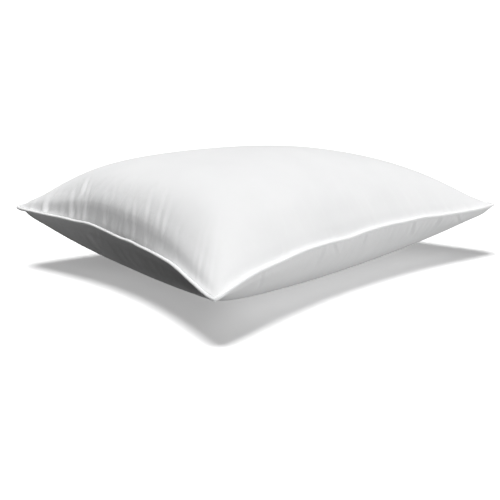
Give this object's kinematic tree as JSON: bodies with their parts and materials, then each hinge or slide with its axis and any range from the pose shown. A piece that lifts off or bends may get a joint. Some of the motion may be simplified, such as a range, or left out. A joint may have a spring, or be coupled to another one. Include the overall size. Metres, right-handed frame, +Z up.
{
  "type": "bed pillow",
  "caption": "Corded bed pillow: a percale shell with a piped knife-edge seam, sewn shut round a feather core between two chambers of down.",
  "frame": {"origin": "on the surface that the pillow lies on, under the middle of its box", "axes": "+X along the pillow's length, +Y across it, +Z up through the crown"},
  "size_m": [0.648, 0.4968, 0.1873],
  "materials": {
    "percale": "crisp white cotton percale, matt with a faint sheen",
    "piping": "white bias-cut cotton tape",
    "cord": "undyed twisted cotton cord",
    "thread": "white polyester sewing thread",
    "ticking": "tightly woven undyed cotton",
    "down": "soft white down clusters",
    "feathers": "small curled feathers",
    "label": "blank white woven polyester tape"
  },
  "bodies": {
    "root": {"top_panel": "percale", "bottom_panel": "percale", "piping_tape": "piping", "piping_cord": "cord", "seam_needle_thread": "thread", "seam_bobbin_thread": "thread", "overlock_thread": "thread", "closing_thread": "thread", "upper_down_fill": "down", "lower_down_fill": "down", "core_ticking_top": "ticking", "core_ticking_bottom": "ticking", "core_seam_thread": "thread", "feather_core": "feathers", "care_label": "label"}
  },
  "joints": []
}
